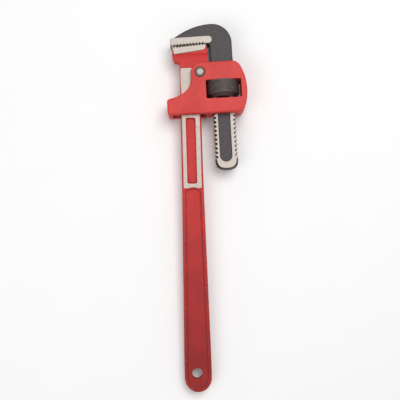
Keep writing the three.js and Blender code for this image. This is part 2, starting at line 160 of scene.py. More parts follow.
FRAME_PLACE = flat_frame(0)
HANDLE_PLACE = flat_frame(HANDLE_LEAN - FRAME_LEAN)
VIEW_PLACE = flat_frame(-FRAME_LEAN)


# ---------------------------------------------------------------- outlines

def curve(start, control, end, steps=14):
    """Points along a quadratic curve, without its start."""
    a, b, c = Vector(start), Vector(control), Vector(end)
    shares = [i / steps for i in range(1, steps + 1)]
    return [tuple(a * (1 - t) ** 2 + b * 2 * t * (1 - t) + c * t * t) for t in shares]


def arc(centre, r, start, end, steps=24):
    """Points along a circle's arc, from one angle in degrees to another, both ends in."""
    angles = [math.radians(start + (end - start) * i / steps) for i in range(steps + 1)]
    return [(centre[0] + r * math.cos(a), centre[1] + r * math.sin(a)) for a in angles]


def outline(start, *steps):
    """A closed outline. A step is a point, a list of points, or ("to", control, end) for a curve."""
    points = [start]
    for step in steps:
        if step[0] == "to":
            points += curve(points[-1], step[1], step[2])
        elif isinstance(step, list):
            points += step
        else:
            points.append(step)
    kept = [points[0]]
    for point in points[1:]:
        if (Vector(point) - Vector(kept[-1])).length > 1e-3:
            kept.append(point)
    if (Vector(kept[0]) - Vector(kept[-1])).length < 1e-3:
        kept.pop()
    area = sum(a[0] * b[1] - b[0] * a[1] for a, b in zip(kept, kept[1:] + kept[:1]))
    return kept if area > 0 else kept[::-1]


def rectangle(left, right, bottom, top, corner=0.0):
    if not corner:
        return outline((left, bottom), (right, bottom), (right, top), (left, top))
    inner = [(right - corner, top - corner), (left + corner, top - corner),
             (left + corner, bottom + corner), (right - corner, bottom + corner)]
    points = []
    for i, centre in enumerate(inner):
        points += arc(centre, corner, 90 * i, 90 * (i + 1), 6)
    return outline(points[0], points[1:])


def inset(points, distance):
    """The outline moved in by a distance, point for point."""
    p = np.array(points, float)
    before, after = p - np.roll(p, 1, 0), np.roll(p, -1, 0) - p
    before /= np.linalg.norm(before, axis=1)[:, None]
    after /= np.linalg.norm(after, axis=1)[:, None]
    left = np.stack([-before[:, 1] - after[:, 1], before[:, 0] + after[:, 0]], 1)
    scale = np.maximum((left * left).sum(1) / 2, 0.5)
    return [tuple(q) for q in p + left * distance / scale[:, None]]


def bar_half_width(y):
    ys = [s[0] for s in BAR_STATIONS][::-1]
    widths = [s[1] for s in BAR_STATIONS][::-1]
    return float(np.interp(y, ys, widths))


def bar_outline(margin, top_y, arch=0.0):
    """The bar's outline, a margin inside its edge, below top_y, with an arched top if asked."""
    end_y = BAR_STATIONS[-1][0] - 15
    levels = [y for y in (-50, -87, -125, -170, -215, -260, -305) if y < top_y]
    right = [(BAR_X + bar_half_width(y) - margin, y) for y in [top_y, *levels]]
    left = [(2 * BAR_X - x, y) for x, y in reversed(right)]
    wide, deep = bar_half_width(end_y) - margin, end_y - BAR_TIP_Y - margin
    tip = [(BAR_X + wide * math.cos(math.radians(a)), end_y - deep * math.sin(math.radians(a)))
           for a in range(0, 181, 6)]
    close = [("to", (BAR_X, top_y + 2 * arch), right[0])] if arch else []
    return outline(right[0], right[1:], tip, left, *close)


def strip_outline(gap):
    """The heel jaw's ends and bottom edge grown by a gap, closed far above."""
    nose_x, nose_y = STRIP["nose"]
    end_x = STRIP["end_x"] + gap
    return [(nose_x - gap, nose_y), (STRIP["left"] - gap, STRIP["left_y"] - gap),
            (STRIP["right"], STRIP["right_y"] - gap),
            *curve((STRIP["right"], STRIP["right_y"] - gap), (end_x, 26), (end_x, 30))]


def tooth_line(start, end, count, depth, side, steep):
    """Points of a row of teeth, tips on the line from start to end and roots to one side of it."""
    start, end = Vector(start), Vector(end)
    step = (end - start) / count
    points = []
    for tooth in range(count):
        tip, root = start + step * tooth, start + step * (tooth + steep)
        along = step.normalized()
        points += [tuple(tip - along * 0.12), tuple(tip + along * 0.12)] if tooth else [tuple(tip)]
        points += [(root.x - 0.12, root.y + side * depth), (root.x + 0.12, root.y + side * depth)]
    return points + [tuple(end)]


# ---------------------------------------------------------------- solids

def made(name, points, faces):
    mesh = bpy.data.meshes.new(name)
    mesh.from_pydata([tuple(p) for p in points], [], faces)
    mesh.validate()
    obj = bpy.data.objects.new(name, mesh)
    bpy.context.scene.collection.objects.link(obj)
    return obj


def loft(rings):
    """A closed solid through rings of points, each ring with the same number, capped at both ends."""
    n = len(rings[0])
    points = [p for ring in rings for p in ring]
    faces = [tuple(reversed(range(n))), tuple(range(len(points) - n, len(points)))]
    for level in range(len(rings) - 1):
        for i in range(n):
            a, b = level * n + i, level * n + (i + 1) % n
            faces.append((a, b, b + n, a + n))
    return made("solid", points, faces)


def at_height(points, z):
    return [(x, y, z) for x, y in points]


def slab(points, low, high):
    return loft([at_height(points, low), at_height(points, high)])


def rounded_slab(points, half, edge, steps=6):
    """A slab about the middle plane with its edges rounded all round."""
    angles = [math.pi / 2 * i / steps for i in range(steps + 1)]
    top = [at_height(inset(points, edge * (1 - math.cos(a))), half - edge + edge * math.sin(a))
           for a in angles]
    bottom = [[(x, y, -z) for x, y, z in ring] for ring in reversed(top)]
    return loft(bottom + top)


def sunk(points, floor, mouth, draft, side):
    """A cutter for a recess with sloping walls: `draft` wider at the mouth than at the floor."""
    beyond = mouth + 4
    flare = draft * (beyond - floor) / (mouth - floor)
    rings = [at_height(points, floor), at_height(inset(points, -flare), beyond)]
    if side < 0:
        rings = [[(x, y, -z) for x, y, z in ring] for ring in reversed(rings)]
    return loft(rings)


def turned(profile, axis, at, steps=96):
    """A solid turned about a line through `at` along axis "X", "Y" or "Z", from (radius, along) pairs."""
    rings = []
    for r, along in profile:
        ring = []
        for i in range(steps):
            a = 2 * math.pi * i / steps
            c, s = max(r, 1e-3) * math.cos(a), max(r, 1e-3) * math.sin(a)
            ring.append({"X": (along, c, s), "Y": (s, along, c), "Z": (c, s, along)}[axis])
        rings.append([tuple(Vector(p) + Vector(at)) for p in ring])
    return loft(rings)


def rod(axis, at, r, low, high, steps=48):
    return turned([(r, low), (r, high)], axis, at, steps)


def screw(crest_r, root_r, crest, root, low, high):
    """A right-hand thread about the shank's axis, reaching past low and high."""
    flank = (PITCH - crest - root) / 2
    bands = [(0, crest_r), (crest, crest_r), (crest + flank, root_r), (crest + flank + root, root_r)]
    turns = math.ceil((high - low) / PITCH) + 2
    start = PITCH * (math.floor(low / PITCH) - 1) + THREAD_PHASE - crest / 2
    rows, n, count = len(bands) * turns, THREAD_STEPS, len(bands)
    points = []
    for row in range(rows + count + 1):
        along, r = bands[row % count]
        y = start + PITCH * (row // count) + along
        for step in range(n):
            a = 2 * math.pi * step / n
            points.append((SHANK_X + r * math.sin(a), y + PITCH * step / n, r * math.cos(a)))

    def at(row, step):
        return row * n + step if step < n else (row + count) * n

    faces = [(at(row, step), at(row, step + 1), at(row + 1, step + 1), at(row + 1, step))
             for row in range(rows) for step in range(n)]
    foot = len(points)
    points += [(SHANK_X, start, 0), (SHANK_X, start + PITCH * (turns + 1), 0)]
    for step in range(n):
        faces.append((foot, at(0, step + 1), at(0, step)))
        faces.append((foot + 1, at(rows, step), at(rows, step + 1)))
    for row in range(count):
        faces.append((foot, at(row, 0), at(row + 1, 0)))
        faces.append((foot + 1, at(rows + row + 1, 0), at(rows + row, 0)))
    return made("screw", points, faces)


def applied(obj):
    """Keeps what the object's modifiers make."""
    result = bpy.data.meshes.new_from_object(obj.evaluated_get(bpy.context.evaluated_depsgraph_get()))
    obj.modifiers.clear()
    obj.data = result
    return obj


def combined(obj, operation, *others):
    for other in others:
        modifier = obj.modifiers.new("combine", "BOOLEAN")
        modifier.operation = operation
        modifier.solver = "EXACT"
        modifier.object = other
        applied(obj)
        bpy.data.objects.remove(other)
    return obj


def joined(obj, *others):
    return combined(obj, "UNION", *others)


def cut(obj, *others):
    return combined(obj, "DIFFERENCE", *others)


def common(obj, *others):
    return combined(obj, "INTERSECT", *others)


def neighbour_mean(values, a, b, count):
    total = np.bincount(a, values[b], len(values)) + np.bincount(b, values[a], len(values))
    return total / np.maximum(count, 1)


def marked(obj):
    """Keeps each point's place in its flat frame and how sharply the surface bends there, for the looks."""
    mesh = obj.data
    n = len(mesh.vertices)
    co, normal = np.empty(n * 3), np.empty(n * 3)
    mesh.vertices.foreach_get("co", co)
    mesh.vertices.foreach_get("normal", normal)
    co, normal = co.reshape(-1, 3), normal.reshape(-1, 3)
    edges = np.empty(len(mesh.edges) * 2, int)
    mesh.edges.foreach_get("vertices", edges)
    a, b = edges.reshape(-1, 2).T
    along, turn = co[b] - co[a], normal[b] - normal[a]
    bend = (along * turn).sum(1) / np.maximum((along * along).sum(1), 1e-6)
    count = np.bincount(a, minlength=n) + np.bincount(b, minlength=n)
    edge = (np.bincount(a, bend, n) + np.bincount(b, bend, n)) / np.maximum(count, 1)
    for _ in range(2):
        edge = (edge + neighbour_mean(edge, a, b, count)) / 2
    place = mesh.attributes.new("place", "FLOAT_VECTOR", "POINT")
    place.data.foreach_set("vector", co.astype(np.float32).ravel())
    sharp = mesh.attributes.new("edge", "FLOAT", "POINT")
    sharp.data.foreach_set("value", np.clip(edge, -1.5, 1.5).astype(np.float32))
    return obj


def refined(obj, voxel, smooth, keep):
    """An even fine surface over the solid, its edges softened, thinned where it is flat."""
    remesh = obj.modifiers.new("remesh", "REMESH")
    remesh.mode = "VOXEL"
    remesh.voxel_size = voxel
    soften = obj.modifiers.new("soften", "SMOOTH")
    soften.factor = 0.5
    soften.iterations = smooth
    thin = obj.modifiers.new("thin", "DECIMATE")
    thin.ratio = keep
    return applied(obj)


def placed(obj, name, place, body, material, *nodes):
    """Gives the finished piece its name, place, body and material."""
    marked(obj)
    obj.data.transform(place)
    obj.name = obj.data.name = name
    obj.data.materials.clear()
    obj.data.materials.append(material)
    obj.data.shade_smooth()
    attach(obj, body)
    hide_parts(*nodes)
    return obj


# ---------------------------------------------------------------- pieces

def head_outline():
    left = BAR_X - BAR_STATIONS[0][1]
    return outline((left, -14), (left, 12.2), ("to", (-21.7, 13.6), (-24.6, 13.7)),
                   ("to", (-28.9, 14.2), (-29.1, 19)), (-29.3, 45), (7.8, 45), (7.9, 29.8),
                   ("to", (9.0, 24), (9.3, 16)), (HEAD_TURN_R, 0),
                   arc((0, 0), HEAD_TURN_R, 0, -90, 12), (0, -14))


def above_head():
    """Everything over the head's top line, which slopes a little."""
    return slab(outline((-60, 26.1), (60, 32.6), (60, 80), (-60, 80)), -20, 20)


def head_flare():
    """As thin as the bar below FLARE_LOW, swelling in a hollow curve to the jaw's width."""
    low, high = BAR_HALF_DEPTH + 0.03, HEAD_HALF_DEPTH + 0.03
    side = [(-20, low)]
    for i in range(13):
        a = math.pi / 2 * i / 12
        y = FLARE_LOW + (FLARE_HIGH - FLARE_LOW) * math.sin(a)
        side.append((y, low + (high - low) * (1 - math.cos(a))))
    side.append((45, high))
    section = side + [(y, -z) for y, z in reversed(side)]
    return loft([[(x, y, z) for y, z in section] for x in (45, -45)])


def tongue(gap):
    slope = (STRIP["right_y"] - STRIP["left_y"]) / (STRIP["right"] - STRIP["left"])
    left, right = TONGUE["left"] - gap, TONGUE["right"] + gap
    low = STRIP["left_y"] - TONGUE["drop"] - gap
    low_left, low_right = low + slope * (left - STRIP["left"]), low + slope * (right - STRIP["left"])
    half = TONGUE["half"] + gap
    return slab(outline((left, low_left), (right, low_right), (right, 26.5), (left, 25.5)), -half, half)


def make_handle(material):
    body = rounded_slab(bar_outline(0, BAR_TOP_Y), BAR_HALF_DEPTH, BAR_EDGE)
    head = common(rounded_slab(head_outline(), HEAD_HALF_DEPTH, HEAD_EDGE), head_flare())
    cut(head, above_head())
    pad = rectangle(PAD["left"], PAD["right"], PAD["bottom"], PAD["top"], PAD["corner"])
    pad = slab(pad, -PAD["half"], PAD["half"])
    joined(body, head, pad)
    panel = bar_outline(PANEL["rim"] + PANEL["draft"], PANEL["top"], PANEL["arch"])
    pocket = rectangle(POCKET["left"] + POCKET["draft"], POCKET["right"] - POCKET["draft"],
                       POCKET["bottom"] + POCKET["draft"], POCKET["top"] - POCKET["draft"], POCKET["corner"])
    for side in (1, -1):
        cut(body, sunk(panel, PANEL["floor"], BAR_HALF_DEPTH, PANEL["draft"], side))
        cut(body, sunk(pocket, POCKET["floor"], PAD["half"], POCKET["draft"], side))
    seat = outline((STRIP["end_x"] + FIT, 50), (STRIP["nose"][0] - FIT, 50), strip_outline(FIT))
    hole_x, hole_y = HANG_HOLE["at"]
    reach = BAR_HALF_DEPTH
    rim = HANG_HOLE["r"] + HANG_HOLE["edge"]
    r = HANG_HOLE["r"]
    hole = [(rim + 3, -reach - 3), (r, -reach + 1), (r, reach - 1), (rim + 3, reach + 3)]
    hole = turned(hole, "Z", (hole_x, hole_y, 0), 64)
    cut(body, slab(seat, -20, 20), tongue(FIT), hole, rod("Z", (0, 0, 0), PIN_R + FIT, -20, 20))
    cut(body, rod("Z", (*JAW_PIN["at"], 0), JAW_PIN["r"] + FIT, -20, JAW_PIN["front"] + FIT))
    refined(body, MEDIUM, 4, 0.42)
    return placed(body, "handle_bar", HANDLE_PLACE, "handle", material, "handle")


def make_heel_jaw(material):
    teeth = tooth_line(**HEEL_TEETH, side=-1, steep=0.7)
    shape = outline(strip_outline(0)[0], strip_outline(0)[1:], teeth[::-1])
    half = HEAD_HALF_DEPTH + 0.2
    body = joined(slab(shape, -half, half), tongue(0))
    cut(body, rod("Z", (*JAW_PIN["at"], 0), JAW_PIN["r"] + FIT, -20, 20))
    refined(body, 0.24, 2, 0.35)
    return placed(body, "heel_jaw_insert", HANDLE_PLACE, "handle", material, "heel_jaw")


def frame_outline():
    return outline((1, FRAME_TOP), (35.5, FRAME_TOP),
                   ("to", (40.8, 10.2), (43.6, 4.4)), ("to", (49.3, -7), (49.3, -21)),
                   ("to", (49.2, -34), (44.4, -42)), ("to", (43, FRAME_BOTTOM), (39.5, FRAME_BOTTOM)),
                   (-33.6, FRAME_BOTTOM), ("to", (FRAME_LEFT, FRAME_BOTTOM), (FRAME_LEFT, -41.4)),
                   (-36.6, -30.5),
                   ("to", (-36.4, -27.6), (-33.6, -27.1)), ("to", (-20, -24.6), (-13.2, -16.8)),
                   ("to", (-9.8, -12.6), (-9.7, -3)), (-9.7, 0), arc((1, 0), FRAME_TOP, 180, 90, 20))


def slot_outline():
    return outline((SLOT_LEFT, -60), (SLOT_LEFT, 30), (14, 30), (14, -2),
                   arc((0, 0), TURN_POCKET_R, -12, -82, 12),
                   (1.4, -24), (SLOT_RIGHT, -34), (SLOT_RIGHT, -60))


def make_frame(material):
    body = rounded_slab(frame_outline(), FRAME_HALF_DEPTH, FRAME_EDGE)
    channel = THREAD_R + 0.5
    shank_way = rectangle(SHANK_X - channel, SHANK_X + channel, WINDOW["bottom"], 30)
    guide = rectangle(SHANK_X - channel, SHANK_X + channel, -60, WINDOW["bottom"] + 1)
    guide_half = SHANK_HALF_DEPTH + FIT
    window = rectangle(WINDOW["left"], WINDOW["right"], WINDOW["bottom"], WINDOW["top"], WINDOW["corner"])
    for way in (slot_outline(), shank_way):
        cut(body, slab(way, -SLOT_HALF_DEPTH, SLOT_HALF_DEPTH))
    cut(body, slab(guide, -guide_half, guide_half))
    cut(body, slab(window, -20, 20), rod("Z", (0, 0, 0), PIN_R + FIT, -20, 20))
    seat = PIN_HEAD_SEAT - FIT
    for low, high in ((seat, 20), (-20, -seat)):
        cut(body, rod("Z", (0, 0, 0), PIN_HEAD_R + FIT, low, high, 64))
    cut(body, rod("X", (0, FRONT_RIVET_Y, 0), RIVET_R + FIT, -50, -25))
    cut(body, rod("X", (0, BACK_RIVET_Y, 0), RIVET_R + FIT, 3, 20))
    refined(body, MEDIUM, 4, 0.42)
    return placed(body, "frame_housing", FRAME_PLACE, "frame", material, "frame")


def make_pin(material):
    """A headed pin, its ends domed over and dimpled by the riveting tool."""
    half = FRAME_HALF_DEPTH
    face = [(0, half + PIN_DOME * 0.62), (1.0, half + PIN_DOME * 0.66), (1.5, half + PIN_DOME * 0.97)]
    for i in range(2, 13):
        a = math.pi / 2 * i / 12
        face.append((PIN_HEAD_R * math.sin(a), half + PIN_DOME * math.cos(a)))
    end = [*face, (PIN_HEAD_R, PIN_HEAD_SEAT), (PIN_R, PIN_HEAD_SEAT)]
    profile = [(r, -z) for r, z in end] + [(r, z) for r, z in reversed(end)]
    body = turned(profile, "Z", (0, 0, 0), 72)
    refined(body, 0.2, 2, 0.4)
    return placed(body, "pivot_pin", FRAME_PLACE, "frame", material, "frame_pin")


def knurled(obj):
    """Presses a diamond pattern into the nut's rim."""
    mesh = obj.data
    low, high = NUT["rim"] + 1.6, NUT["top"] - NUT["edge"] - 0.5
    slant = KNURLS / (2 * math.pi * NUT["r"]) * 0.55
    for vertex in mesh.vertices:
        x, y, z = vertex.co.x - SHANK_X, vertex.co.y, vertex.co.z
        r = math.hypot(x, z)
        if r < NUT["r"] - 0.35 or not low < y < high:
            continue
        turn = math.atan2(x, z) / (2 * math.pi) * KNURLS
        first, second = turn + y * slant, turn - y * slant
        groove = max(abs((first % 1) - 0.5), abs((second % 1) - 0.5)) * 2
        ends = min(1, (y - low) / 0.6, (high - y) / 0.6)
        shrink = 1 - KNURL_DEPTH * ends * max(0, groove - 0.35) / 0.65 / r
        vertex.co = (SHANK_X + x * shrink, y, z * shrink)
    return obj


def make_nut(material):
    hub_r, rim, r, top, bottom, edge = (NUT[k] for k in ("hub_r", "rim", "r", "top", "bottom", "edge"))
    profile = [(0, bottom), (hub_r - 1, bottom), (hub_r - 0.3, bottom + 0.3), (hub_r, bottom + 1),
               (r - 0.6, rim - 0.4), (r - 0.1, rim), (r, rim + 0.4), (r, top - edge),
               (r - edge * 0.3, top - edge * 0.3), (r - edge, top), (0, top)]
    body = turned(profile, "Y", (SHANK_X, 0, 0), 144)
    around, along = THREAD_GAP["around"], THREAD_GAP["along"]
    hole = screw(THREAD_R + around, THREAD_ROOT_R + around, CREST + 2 * along, ROOT - 2 * along,
                 bottom - PITCH, top + PITCH)
    cut(body, hole)
    refined(body, 0.3, 2, 1.0)
    knurled(body)
    thin = body.modifiers.new("thin", "DECIMATE")
    thin.ratio = 0.55
    applied(body)
    return placed(body, "knurled_nut", FRAME_PLACE, "nut", material, "adjusting_nut")


def hook_outline():
    (x, y), r = CROWN["at"], CROWN["r"]
    end_x, end_y = HOOK_TEETH["end"]
    return outline((THROAT_X, HEAD_FOOT["left"]), (x + r, HEAD_FOOT["right"]), arc((x, y), r, 0, 90, 40),
                   ("to", (-7.1, y + r), (NOSE_X + 0.8, NOSE_TOP)), ("to", (NOSE_X, 37.4), (NOSE_X, 36.4)),
                   (NOSE_X, 33.5), (end_x, end_y + 2.2),
                   ("to", (THROAT_X, end_y + 1.2), (THROAT_X, end_y - 3)))


def hook_pad_outline():
    teeth = tooth_line(**HOOK_TEETH, side=1, steep=0.3)
    end, left, top = HOOK_PAD["end"], HOOK_PAD["left"], HOOK_PAD["left_top"]
    return outline((left, top - 1.2), teeth, arc(end, HOOK_PAD["top"] - end[1], -90, 90, 20),
                   (left + 2.4, top), ("to", (left + 0.4, top - 0.1), (left, top - 1.2)))


def channel_outline():
    middle = SHANK_X + (CHANNEL["left"] + CHANNEL["right"]) / 2
    half = (CHANNEL["right"] - CHANNEL["left"]) / 2 - CHANNEL["draft"]
    return outline((middle + half, CHANNEL["top"]), arc((middle, CHANNEL["round"]), half, 0, -180, 24),
                   (middle - half, CHANNEL["top"]))


def tip_profile():
    """The shank's end: a little squarer than a half circle."""
    power = 2 / SHANK_TIP["square"]
    angles = [math.radians(a) for a in range(0, 91, 6)]
    return [(THREAD_R * math.sin(a) ** power, SHANK_END_Y - SHANK_TIP["long"] * max(0, math.cos(a)) ** power)
            for a in angles]


def make_hook(material):
    low, high = THREAD_BOTTOM, THREAD_TOP
    shank = common(screw(THREAD_R, THREAD_ROOT_R, CREST, ROOT, low, high),
                   turned([(20, low - 0.5), (20, high + 0.5)], "Y", (SHANK_X, 0, 0), 24))
    joined(shank, turned([*tip_profile(), (THREAD_R, low + 0.1)], "Y", (SHANK_X, 0, 0)))
    common(shank, rounded_slab(rectangle(-50, 80, BELOW_TIP, 60), SHANK_HALF_DEPTH, 0.2, 1))
    stem_r = THREAD_R + 0.2
    stem = turned([(THREAD_R - 0.4, high), (stem_r, high + 1), (stem_r, 17)], "Y", (SHANK_X, 0, 0))
    common(stem, rounded_slab(rectangle(-50, 80, -20, 60), STEM_HALF_DEPTH - 0.02, 0.2, 1))
    head = rounded_slab(hook_outline(), STEM_HALF_DEPTH, HOOK_EDGE)
    pad = slab(hook_pad_outline(), -HOOK_PAD_HALF_DEPTH, HOOK_PAD_HALF_DEPTH)
    joined(shank, stem, head, pad)
    for side in (1, -1):
        floor = SHANK_HALF_DEPTH - CHANNEL["depth"]
        cut(shank, sunk(channel_outline(), floor, SHANK_HALF_DEPTH, CHANNEL["draft"], side))
    refined(shank, FINE, 2, 0.4)
    return placed(shank, "hook_and_shank", FRAME_PLACE, "hook", material, "hook_jaw")


# ---------------------------------------------------------------- looks

class Look:
    """A material in the making. Sizes are in millimetres, in a piece's flat frame or its object space."""

    def __init__(self, name, carried_over=False, **constants):
        self.material = bpy.data.materials.new(name)
        self.material.use_nodes = True
        self.tree = self.material.node_tree
        self.shader = self.tree.nodes["Principled BSDF"]
        for socket, value in constants.items():
            self.shader.inputs[socket.replace("_", " ")].default_value = value
        if carried_over:
            row = self.node("TexCoord").outputs["Object"]
            self.place = self.node("VectorMath", {0: row, "Scale": 1 / MM}, operation="SCALE").outputs[0]
            self.edge = 0.0
        else:
            self.place = self.node("Attribute", attribute_name="place").outputs["Vector"]
            self.edge = self.node("Attribute", attribute_name="edge").outputs["Fac"]
        split = self.node("SeparateXYZ", {0: self.place})
        self.x, self.y, self.z = split.outputs

    def node(self, kind, inputs=None, **settings):
        made_node = self.tree.nodes.new("ShaderNode" + kind)
        for key, value in settings.items():
            setattr(made_node, key, value)
        for socket, value in (inputs or {}).items():
            if isinstance(value, bpy.types.NodeSocket):
                self.tree.links.new(value, made_node.inputs[socket])
            else:
                made_node.inputs[socket].default_value = value
        return made_node

    def math(self, operation, a, b=0.0):
        return self.node("Math", {0: a, 1: b}, operation=operation).outputs[0]

    def times(self, *factors):
        product = factors[0]
        for factor in factors[1:]:
            product = self.math("MULTIPLY", product, factor)
        return product

    def step(self, value, low, high, start=0.0, end=1.0):
        """Rises smoothly from start to end as value goes from low to high."""
        inputs = {"Value": value, "From Min": low, "From Max": high, "To Min": start, "To Max": end}
        return self.node("MapRange", inputs, interpolation_type="SMOOTHSTEP").outputs[0]

    def noise(self, size, detail=3.0, rough=0.5, stretch=(1, 1, 1)):
        at = self.node("VectorMath", {0: self.place, 1: stretch}, operation="MULTIPLY").outputs[0]
        inputs = {"Vector": at, "Scale": 1 / size, "Detail": detail, "Roughness": rough}
        return self.node("TexNoise", inputs).outputs[0]

    def mix(self, share, a, b):
        colours = {"Factor": share, 6: a, 7: b}
        return self.node("Mix", colours, data_type="RGBA").outputs[2]

    def blend(self, share, a, b):
        return self.node("Mix", {0: share, 2: a, 3: b}, data_type="FLOAT").outputs[0]

    def bump(self, height, depth, under=None):
        inputs = {"Height": height, "Distance": depth * MM}
        if under is not None:
            inputs["Normal"] = under
        return self.node("Bump", inputs).outputs[0]

    def finish(self, colour, roughness, normal, metallic=None):
        sockets = {"Base Color": colour, "Roughness": roughness, "Normal": normal, "Metallic": metallic}
        for socket, value in sockets.items():
            if value is not None:
                self.tree.links.new(value, self.shader.inputs[socket])
        return self.material


def rgb(r, g, b):
    return (r, g, b, 1.0)


ENAMEL_LIGHT = rgb(0.66, 0.056, 0.050)
ENAMEL_DARK = rgb(0.56, 0.043, 0.039)
ENAMEL_HOLLOW_SHADE = rgb(0.17, 0.022, 0.02)
ENAMEL_WORN = rgb(0.76, 0.15, 0.12)
CHIPPED = rgb(0.14, 0.085, 0.075)
STEEL_LIGHT = rgb(0.62, 0.545, 0.49)
STEEL_DARK = rgb(0.46, 0.405, 0.36)
GROOVE_SHADE_BLACK = rgb(0.010, 0.009, 0.010)

# The radius past which the thread's grooves are painted black as shade, and how far out the shank's end is
# ground bright, as a share of its outline
GROOVE_INNER_R = 9.3
TIP_BARE = 0.66
# used for real stains on ground steel and as painted shade in its hollows
STEEL_STAIN_AND_SHADE = rgb(0.27, 0.20, 0.15)
SCALE_LIGHT = rgb(0.095, 0.083, 0.084)
SCALE_DARK = rgb(0.040, 0.035, 0.037)
NUT_LIGHT = rgb(0.125, 0.098, 0.09)
NUT_DARK = rgb(0.05, 0.04, 0.038)


def ground_steel(look, stretch):
    """Colour, roughness and height of bare ground steel, its grinding lines drawn out by the stretch."""
    lines = look.noise(0.55, 4, 0.6, stretch)
    patches = look.noise(5.5, 3)
    stain = look.times(look.step(look.noise(2.6, 5, 0.7), 0.57, 0.72), 0.55)
    colour = look.mix(look.step(lines, 0.3, 0.7), STEEL_DARK, STEEL_LIGHT)
    colour = look.mix(look.step(patches, 0.35, 0.65, 0, 0.35), colour, STEEL_LIGHT)
    colour = look.mix(stain, colour, STEEL_STAIN_AND_SHADE)
    return colour, look.step(lines, 0.25, 0.75, 0.48, 0.62), lines


def enamel(look, light, dark):
    """Colour, roughness and normal of red enamel: painted shade in its hollows, rubbed and chipped on edges.
    """
    broad, fine = look.noise(24, 3), look.noise(1.5, 4, 0.6)
    colour = look.mix(look.step(broad, 0.3, 0.7), dark, light)
    colour = look.mix(look.step(fine, 0.62, 0.85, 0, 0.22), colour, ENAMEL_WORN)
    # painted shade: the enamel is darkened to a deep red in its hollows, in patches
    hollow = look.times(look.step(look.edge, -0.04, -0.22), look.step(look.noise(4, 3), 0.25, 0.6), 0.75)
    colour = look.mix(hollow, colour, ENAMEL_HOLLOW_SHADE)
    rubbed = look.times(look.step(look.edge, 0.14, 0.4), look.step(look.noise(3.2, 4), 0.42, 0.7), 0.45)
    colour = look.mix(rubbed, colour, ENAMEL_WORN)
    chip = look.times(look.step(look.edge, 0.2, 0.34), look.step(look.noise(2.1, 5, 0.7), 0.635, 0.665))
    colour = look.mix(chip, colour, CHIPPED)
    rough = look.blend(chip, look.step(look.noise(3.5, 4, 0.6), 0.3, 0.75, 0.46, 0.6), 0.75)
    cast = look.bump(look.noise(3.8, 3), 0.16)
    peel = look.bump(look.noise(0.85, 2), 0.03, cast)
    normal = look.bump(chip, -0.08, peel)
    return colour, rough, normal


def handle_paint():
    look = Look("red_enamel_and_ground_pads", Specular_IOR_Level=0.28)
    # painted shade: the bar's red darkens steadily towards its far end
    far_end_shade = look.step(look.y, -60, -320, 0, 1)
    light = look.mix(far_end_shade, rgb(0.60, 0.035, 0.032), rgb(0.34, 0.018, 0.018))
    dark = look.mix(far_end_shade, rgb(0.51, 0.029, 0.027), rgb(0.27, 0.015, 0.015))
    colour, rough, normal = enamel(look, light, dark)
    depth = look.math("ABSOLUTE", look.z)
    ragged = look.step(look.noise(1.2, 3), 0.3, 0.7, -0.05, 0.05)
    on_pad = look.step(look.math("ADD", depth, ragged), PAD["half"] - 0.17, PAD["half"] - 0.07)
    on_pad = look.times(on_pad, look.step(look.y, PAD["top"] + 1.1, PAD["top"] + 0.5))
    steel, steel_rough, lines = ground_steel(look, (1.0, 0.10, 1.0))
    colour = look.mix(on_pad, colour, steel)
    rough = look.blend(on_pad, rough, steel_rough)
    normal = look.bump(look.times(lines, on_pad), 0.02, normal)
    return look.finish(colour, rough, normal, look.times(on_pad, 0.3))


def frame_paint():
    look = Look("red_enamel_casting", Specular_IOR_Level=0.28)
    return look.finish(*enamel(look, ENAMEL_LIGHT, ENAMEL_DARK))


def jaw_steel():
    look = Look("ground_jaw_steel")
    colour, rough, lines = ground_steel(look, (0.10, 1.0, 1.0))
    # painted shade: the jaw's hollows, such as the teeth's roots, are darkened towards the stain colour and
    # made less metallic
    hollow = look.times(look.step(look.edge, -0.1, -0.5), 0.85)
    colour = look.mix(hollow, colour, STEEL_STAIN_AND_SHADE)
    normal = look.bump(lines, 0.02, look.bump(look.noise(1.4, 3), 0.02))
    return look.finish(colour, rough, normal, look.step(hollow, 0, 1, 0.35, 0.25))


def pin_steel():
    look = Look("domed_pin_steel")
    r = look.math("SQRT", look.math("ADD", look.times(look.x, look.x), look.times(look.y, look.y)))
    colour, rough, lines = ground_steel(look, (1, 1, 1))
    # painted reflection and painted shade: the dome is darkened in a ragged ring out from its bright middle
    # and made less metallic
    ring = look.step(look.math("ADD", r, look.step(look.noise(1.1, 3), 0.3, 0.7, -0.35, 0.35)), 2.3, 3.5)
    colour = look.mix(look.times(ring, 0.9), colour, rgb(0.13, 0.105, 0.095))
    normal = look.bump(look.noise(0.7, 4), 0.05, look.bump(lines, 0.02))
    return look.finish(colour, rough, normal, look.step(ring, 0, 1, 0.5, 0.4))


